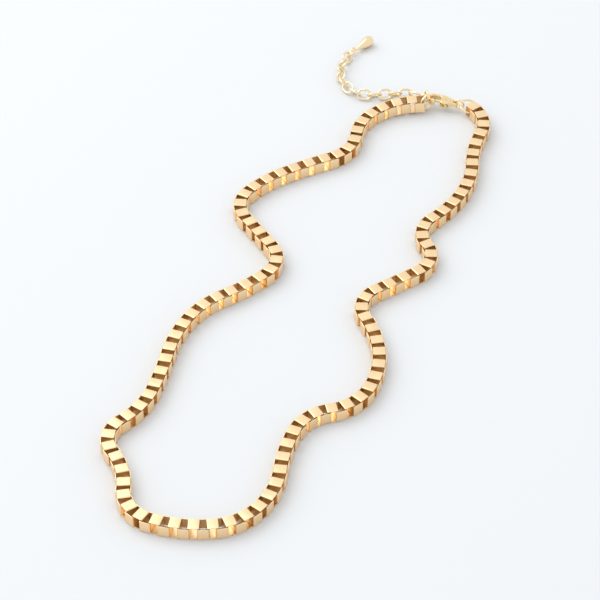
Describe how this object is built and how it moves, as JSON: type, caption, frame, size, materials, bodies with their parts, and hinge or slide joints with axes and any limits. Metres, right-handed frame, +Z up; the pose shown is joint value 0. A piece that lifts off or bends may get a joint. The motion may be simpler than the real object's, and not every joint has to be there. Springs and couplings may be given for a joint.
{
  "type": "chain necklace",
  "caption": "Gold box-link chain necklace, fastened and lying in loops, with a lobster clasp, jump rings and a short extender chain that ends in a drop.",
  "frame": {"origin": "centre of the bounding box, on the surface that the necklace lies on", "axes": "+Z up from that surface, +Y from the front of the chain towards its clasp, +X to the right seen from the front"},
  "size_m": [0.1056, 0.2004, 0.0064],
  "materials": {
    "satin_gold": "gold-coloured strip, softly brushed",
    "bright_gold": "polished gold colour",
    "spring_steel": "bare spring steel"
  },
  "bodies": {
    "front_chain": {"front_chain": "satin_gold"},
    "right_chain_01": {"right_chain_01": "satin_gold"},
    "right_chain_02": {"right_chain_02": "satin_gold"},
    "right_chain_03": {"right_chain_03": "satin_gold"},
    "right_chain_04": {"right_chain_04": "satin_gold"},
    "right_chain_05": {"right_chain_05": "satin_gold"},
    "right_chain_06": {"right_chain_06": "satin_gold"},
    "right_chain_07": {"right_chain_07": "satin_gold"},
    "right_chain_08": {"right_chain_08": "satin_gold"},
    "right_chain_09": {"right_chain_09": "satin_gold"},
    "right_chain_10": {"right_chain_10": "satin_gold"},
    "right_chain_11": {"right_chain_11": "satin_gold"},
    "right_chain_12": {"right_chain_12": "satin_gold"},
    "right_chain_13": {"right_chain_13": "satin_gold"},
    "right_chain_14": {"right_chain_14": "satin_gold"},
    "right_chain_15": {"right_chain_15": "satin_gold"},
    "left_chain_01": {"left_chain_01": "satin_gold"},
    "left_chain_02": {"left_chain_02": "satin_gold"},
    "left_chain_03": {"left_chain_03": "satin_gold"},
    "left_chain_04": {"left_chain_04": "satin_gold"},
    "left_chain_05": {"left_chain_05": "satin_gold"},
    "left_chain_06": {"left_chain_06": "satin_gold"},
    "left_chain_07": {"left_chain_07": "satin_gold"},
    "left_chain_08": {"left_chain_08": "satin_gold"},
    "left_chain_09": {"left_chain_09": "satin_gold"},
    "left_chain_10": {"left_chain_10": "satin_gold"},
    "left_chain_11": {"left_chain_11": "satin_gold"},
    "left_chain_12": {"left_chain_12": "satin_gold"},
    "left_chain_13": {"left_chain_13": "satin_gold"},
    "left_chain_14": {"left_chain_14": "satin_gold"},
    "left_chain_15": {"left_chain_15": "satin_gold"},
    "left_chain_16": {"left_chain_16": "satin_gold"},
    "ring_right": {"ring_right": "bright_gold"},
    "ring_left": {"ring_left": "bright_gold"},
    "clasp": {"clasp_body": "bright_gold", "clasp_rivet": "bright_gold", "clasp_spring": "spring_steel"},
    "clasp_lever": {"clasp_lever": "bright_gold"},
    "clasp_ring": {"clasp_ring": "bright_gold"},
    "extender_link_01": {"extender_link_01": "bright_gold"},
    "extender_link_02": {"extender_link_02": "bright_gold"},
    "extender_link_03": {"extender_link_03": "bright_gold"},
    "extender_link_04": {"extender_link_04": "bright_gold"},
    "extender_link_05": {"extender_link_05": "bright_gold"},
    "extender_link_06": {"extender_link_06": "bright_gold"},
    "extender_link_07": {"extender_link_07": "bright_gold"},
    "extender_link_08": {"extender_link_08": "bright_gold"},
    "extender_link_09": {"extender_link_09": "bright_gold"},
    "extender_link_10": {"extender_link_10": "bright_gold"},
    "extender_link_11": {"extender_link_11": "bright_gold"},
    "extender_link_12": {"extender_link_12": "bright_gold"},
    "extender_link_13": {"extender_link_13": "bright_gold"},
    "extender_link_14": {"extender_link_14": "bright_gold"},
    "extender_link_15": {"extender_link_15": "bright_gold"},
    "drop_loop": {"drop_loop": "bright_gold"},
    "drop": {"drop": "bright_gold"}
  },
  "joints": [
    {"name": "right_chain_01_hinge", "type": "hinge", "parent": "front_chain", "child": "right_chain_01", "pos_m": [-0.02259, -0.09792, 0.00195], "axis": [0.1621, -0.9868, 0], "range_deg": [-12, 12]},
    {"name": "right_chain_02_hinge", "type": "hinge", "parent": "right_chain_01", "child": "right_chain_02", "pos_m": [-0.01169, -0.09115, 0.00195], "axis": [0, 0, 1], "range_deg": [-15, 0]},
    {"name": "right_chain_03_hinge", "type": "hinge", "parent": "right_chain_02", "child": "right_chain_03", "pos_m": [-0.00708, -0.07867, 0.00195], "axis": [0.9913, -0.1317, 0], "range_deg": [-15, 15]},
    {"name": "right_chain_04_hinge", "type": "hinge", "parent": "right_chain_03", "child": "right_chain_04", "pos_m": [-0.00332, -0.06539, 0.00195], "axis": [0, 0, -1], "range_deg": [0, 8]},
    {"name": "right_chain_05_hinge", "type": "hinge", "parent": "right_chain_04", "child": "right_chain_05", "pos_m": [0.00676, -0.05813, 0.00195], "axis": [0.2773, -0.9608, 0], "range_deg": [-12, 12]},
    {"name": "right_chain_06_hinge", "type": "hinge", "parent": "right_chain_05", "child": "right_chain_06", "pos_m": [0.0161, -0.04973, 0.00195], "axis": [0, 0, -1], "range_deg": [0, 15]},
    {"name": "right_chain_07_hinge", "type": "hinge", "parent": "right_chain_06", "child": "right_chain_07", "pos_m": [0.01828, -0.03649, 0.00195], "axis": [-0.9967, -0.0816, 0], "range_deg": [-15, 15]},
    {"name": "right_chain_08_hinge", "type": "hinge", "parent": "right_chain_07", "child": "right_chain_08", "pos_m": [0.01466, -0.02344, 0.00195], "axis": [0, 0, -1], "range_deg": [0, 8]},
    {"name": "right_chain_09_hinge", "type": "hinge", "parent": "right_chain_08", "child": "right_chain_09", "pos_m": [0.01892, -0.01311, 0.00195], "axis": [0.5412, -0.8409, 0], "range_deg": [-15, 15]},
    {"name": "right_chain_10_hinge", "type": "hinge", "parent": "right_chain_09", "child": "right_chain_10", "pos_m": [0.03051, -0.00552, 0.00195], "axis": [0, 0, -1], "range_deg": [0, 15]},
    {"name": "right_chain_11_hinge", "type": "hinge", "parent": "right_chain_10", "child": "right_chain_11", "pos_m": [0.03203, 0.00541, 0.00195], "axis": [0.9254, 0.3789, 0], "range_deg": [-12, 12]},
    {"name": "right_chain_12_hinge", "type": "hinge", "parent": "right_chain_11", "child": "right_chain_12", "pos_m": [0.03525, 0.01637, 0.00195], "axis": [0, 0, 1], "range_deg": [-15, 0]},
    {"name": "right_chain_13_hinge", "type": "hinge", "parent": "right_chain_12", "child": "right_chain_13", "pos_m": [0.04348, 0.0273, 0.00195], "axis": [0.8976, -0.4408, 0], "range_deg": [-15, 15]},
    {"name": "right_chain_14_hinge", "type": "hinge", "parent": "right_chain_13", "child": "right_chain_14", "pos_m": [0.04674, 0.04047, 0.00195], "axis": [-0.9963, 0.0855, 0], "range_deg": [-15, 15]},
    {"name": "right_chain_15_hinge", "type": "hinge", "parent": "right_chain_14", "child": "right_chain_15", "pos_m": [0.05014, 0.05373, 0.00195], "axis": [0.9502, -0.3115, 0], "range_deg": [-4, 4]},
    {"name": "left_chain_01_hinge", "type": "hinge", "parent": "front_chain", "child": "left_chain_01", "pos_m": [-0.04047, -0.09539, 0.00195], "axis": [-0.4604, -0.8877, 0], "range_deg": [-12, 12]},
    {"name": "left_chain_02_hinge", "type": "hinge", "parent": "left_chain_01", "child": "left_chain_02", "pos_m": [-0.04601, -0.08497, 0.00195], "axis": [0, 0, 1], "range_deg": [0, 10]},
    {"name": "left_chain_03_hinge", "type": "hinge", "parent": "left_chain_02", "child": "left_chain_03", "pos_m": [-0.04993, -0.07237, 0.00195], "axis": [0.9039, 0.4277, 0], "range_deg": [-6, 6]},
    {"name": "left_chain_04_hinge", "type": "hinge", "parent": "left_chain_03", "child": "left_chain_04", "pos_m": [-0.04688, -0.06159, 0.00195], "axis": [0, 0, -1], "range_deg": [-10, 0]},
    {"name": "left_chain_05_hinge", "type": "hinge", "parent": "left_chain_04", "child": "left_chain_05", "pos_m": [-0.03991, -0.05028, 0.00195], "axis": [0.9554, -0.2954, 0], "range_deg": [-15, 15]},
    {"name": "left_chain_06_hinge", "type": "hinge", "parent": "left_chain_05", "child": "left_chain_06", "pos_m": [-0.03657, -0.03674, 0.00195], "axis": [0, 0, 1], "range_deg": [0, 15]},
    {"name": "left_chain_07_hinge", "type": "hinge", "parent": "left_chain_06", "child": "left_chain_07", "pos_m": [-0.03144, -0.024, 0.00195], "axis": [-0.8456, 0.5338, 0], "range_deg": [-12, 12]},
    {"name": "left_chain_08_hinge", "type": "hinge", "parent": "left_chain_07", "child": "left_chain_08", "pos_m": [-0.02165, -0.01486, 0.00195], "axis": [0, 0, -1], "range_deg": [-15, 0]},
    {"name": "left_chain_09_hinge", "type": "hinge", "parent": "left_chain_08", "child": "left_chain_09", "pos_m": [-0.01077, -0.00632, 0.00195], "axis": [-0.764, 0.6452, 0], "range_deg": [-10, 10]},
    {"name": "left_chain_10_hinge", "type": "hinge", "parent": "left_chain_09", "child": "left_chain_10", "pos_m": [-0.01059, 0.00505, 0.00195], "axis": [0, 0, 1], "range_deg": [0, 15]},
    {"name": "left_chain_11_hinge", "type": "hinge", "parent": "left_chain_10", "child": "left_chain_11", "pos_m": [-0.01791, 0.01684, 0.00195], "axis": [-0.8983, -0.4395, 0], "range_deg": [-2, 2]},
    {"name": "left_chain_12_hinge", "type": "hinge", "parent": "left_chain_11", "child": "left_chain_12", "pos_m": [-0.01574, 0.02822, 0.00195], "axis": [0, 0, -1], "range_deg": [-15, 0]},
    {"name": "left_chain_13_hinge", "type": "hinge", "parent": "left_chain_12", "child": "left_chain_13", "pos_m": [-0.0048, 0.03654, 0.00195], "axis": [0.4808, -0.8768, 0], "range_deg": [-15, 15]},
    {"name": "left_chain_14_hinge", "type": "hinge", "parent": "left_chain_13", "child": "left_chain_14", "pos_m": [0.00769, 0.04267, 0.00195], "axis": [-0.4744, 0.8803, 0], "range_deg": [-12, 12]},
    {"name": "left_chain_15_hinge", "type": "hinge", "parent": "left_chain_14", "child": "left_chain_15", "pos_m": [0.01412, 0.05305, 0.00195], "axis": [-0.9858, 0.1682, 0], "range_deg": [-2, 2]},
    {"name": "left_chain_16_hinge", "type": "hinge", "parent": "left_chain_15", "child": "left_chain_16", "pos_m": [0.0211, 0.06374, 0.00195], "axis": [0.5578, -0.83, 0], "range_deg": [-2, 2]},
    {"name": "ring_right_hinge", "type": "hinge", "parent": "right_chain_15", "child": "ring_right", "pos_m": [0.04746, 0.06583, 0.00195], "axis": [-0.7905, -0.6124, 0], "range_deg": [-12, 12]},
    {"name": "ring_left_hinge", "type": "hinge", "parent": "left_chain_16", "child": "ring_left", "pos_m": [0.03395, 0.0669, 0.00279], "axis": [0, 0, 1], "range_deg": [-5, 5]},
    {"name": "clasp_hinge", "type": "hinge", "parent": "ring_left", "child": "clasp", "pos_m": [0.03648, 0.06912, 0.00294], "axis": [0.2749, 0.9615, 0], "range_deg": [-4, 0]},
    {"name": "clasp_lever_hinge", "type": "hinge", "parent": "clasp", "child": "clasp_lever", "pos_m": [0.04008, 0.06757, 0.00278], "axis": [-0.0401, 0.0115, -0.9991], "range_deg": [0, 20], "stiffness_Nm_per_rad": 0.0005, "springref_deg": -5.73, "deforming": ["clasp_spring"]},
    {"name": "clasp_ring_hinge", "type": "hinge", "parent": "clasp", "child": "clasp_ring", "pos_m": [0.04366, 0.06707, 0.00263], "axis": [-0.2749, -0.9615, 0], "range_deg": [-15, 15]},
    {"name": "extender_link_01_hinge", "type": "hinge", "parent": "ring_left", "child": "extender_link_01", "pos_m": [0.03486, 0.06784, 0.00518], "axis": [-0.9848, -0.1736, 0], "range_deg": [-15, 0]},
    {"name": "extender_link_02_hinge", "type": "hinge", "parent": "extender_link_01", "child": "extender_link_02", "pos_m": [0.03453, 0.06972, 0.00327], "axis": [-0.809, -0.5878, 0], "range_deg": [-20, 20]},
    {"name": "extender_link_03_hinge", "type": "hinge", "parent": "extender_link_02", "child": "extender_link_03", "pos_m": [0.03298, 0.07186, 0.00174], "axis": [-0.3665, -0.8212, -0.4373], "range_deg": [0, 15]},
    {"name": "extender_link_04_hinge", "type": "hinge", "parent": "extender_link_03", "child": "extender_link_04", "pos_m": [0.03024, 0.07319, 0.00153], "axis": [-0.0955, -0.9085, -0.4067], "range_deg": [-20, 20]},
    {"name": "extender_link_05_hinge", "type": "hinge", "parent": "extender_link_04", "child": "extender_link_05", "pos_m": [0.02721, 0.07351, 0.00153], "axis": [-0.0801, 0.7618, 0.6428], "range_deg": [-20, 20]},
    {"name": "extender_link_06_hinge", "type": "hinge", "parent": "extender_link_05", "child": "extender_link_06", "pos_m": [0.02418, 0.07319, 0.00153], "axis": [-0.0801, 0.7618, 0.6428], "range_deg": [-20, 20]},
    {"name": "extender_link_07_hinge", "type": "hinge", "parent": "extender_link_06", "child": "extender_link_07", "pos_m": [0.02114, 0.07287, 0.00153], "axis": [0.0534, -0.7642, -0.6428], "range_deg": [-20, 20]},
    {"name": "extender_link_08_hinge", "type": "hinge", "parent": "extender_link_07", "child": "extender_link_08", "pos_m": [0.0181, 0.07266, 0.00153], "axis": [-0.1066, -0.7586, -0.6428], "range_deg": [-20, 20]},
    {"name": "extender_link_09_hinge", "type": "hinge", "parent": "extender_link_08", "child": "extender_link_09", "pos_m": [0.01508, 0.07308, 0.00153], "axis": [-0.4716, -0.6037, -0.6428], "range_deg": [-20, 20]},
    {"name": "extender_link_10_hinge", "type": "hinge", "parent": "extender_link_09", "child": "extender_link_10", "pos_m": [0.01268, 0.07496, 0.00153], "axis": [0.6351, 0.4284, 0.6428], "range_deg": [-20, 20]},
    {"name": "extender_link_11_hinge", "type": "hinge", "parent": "extender_link_10", "child": "extender_link_11", "pos_m": [0.01097, 0.07749, 0.00153], "axis": [-0.7198, -0.262, -0.6428], "range_deg": [-20, 20]},
    {"name": "extender_link_12_hinge", "type": "hinge", "parent": "extender_link_11", "child": "extender_link_12", "pos_m": [0.00993, 0.08035, 0.00153], "axis": [-0.7656, -0.0267, -0.6428], "range_deg": [-20, 20]},
    {"name": "extender_link_13_hinge", "type": "hinge", "parent": "extender_link_12", "child": "extender_link_13", "pos_m": [0.00982, 0.0834, 0.00153], "axis": [-0.7618, 0.0801, -0.6428], "range_deg": [-20, 20]},
    {"name": "extender_link_14_hinge", "type": "hinge", "parent": "extender_link_13", "child": "extender_link_14", "pos_m": [0.01014, 0.08644, 0.00153], "axis": [-0.7198, 0.262, -0.6428], "range_deg": [-20, 20]},
    {"name": "extender_link_15_hinge", "type": "hinge", "parent": "extender_link_14", "child": "extender_link_15", "pos_m": [0.01118, 0.0893, 0.00153], "axis": [-0.6998, 0.3116, -0.6428], "range_deg": [-20, 20]},
    {"name": "drop_loop_hinge", "type": "hinge", "parent": "extender_link_15", "child": "drop_loop", "pos_m": [0.01242, 0.09209, 0.00153], "axis": [-0.5329, 0.3594, 0.766], "range_deg": [-20, 20]},
    {"name": "drop_hinge", "type": "hinge", "parent": "drop_loop", "child": "drop", "pos_m": [0.0133, 0.09339, 0.00153], "axis": [0.4705, -0.4382, -0.766], "range_deg": [-20, 20]}
  ]
}
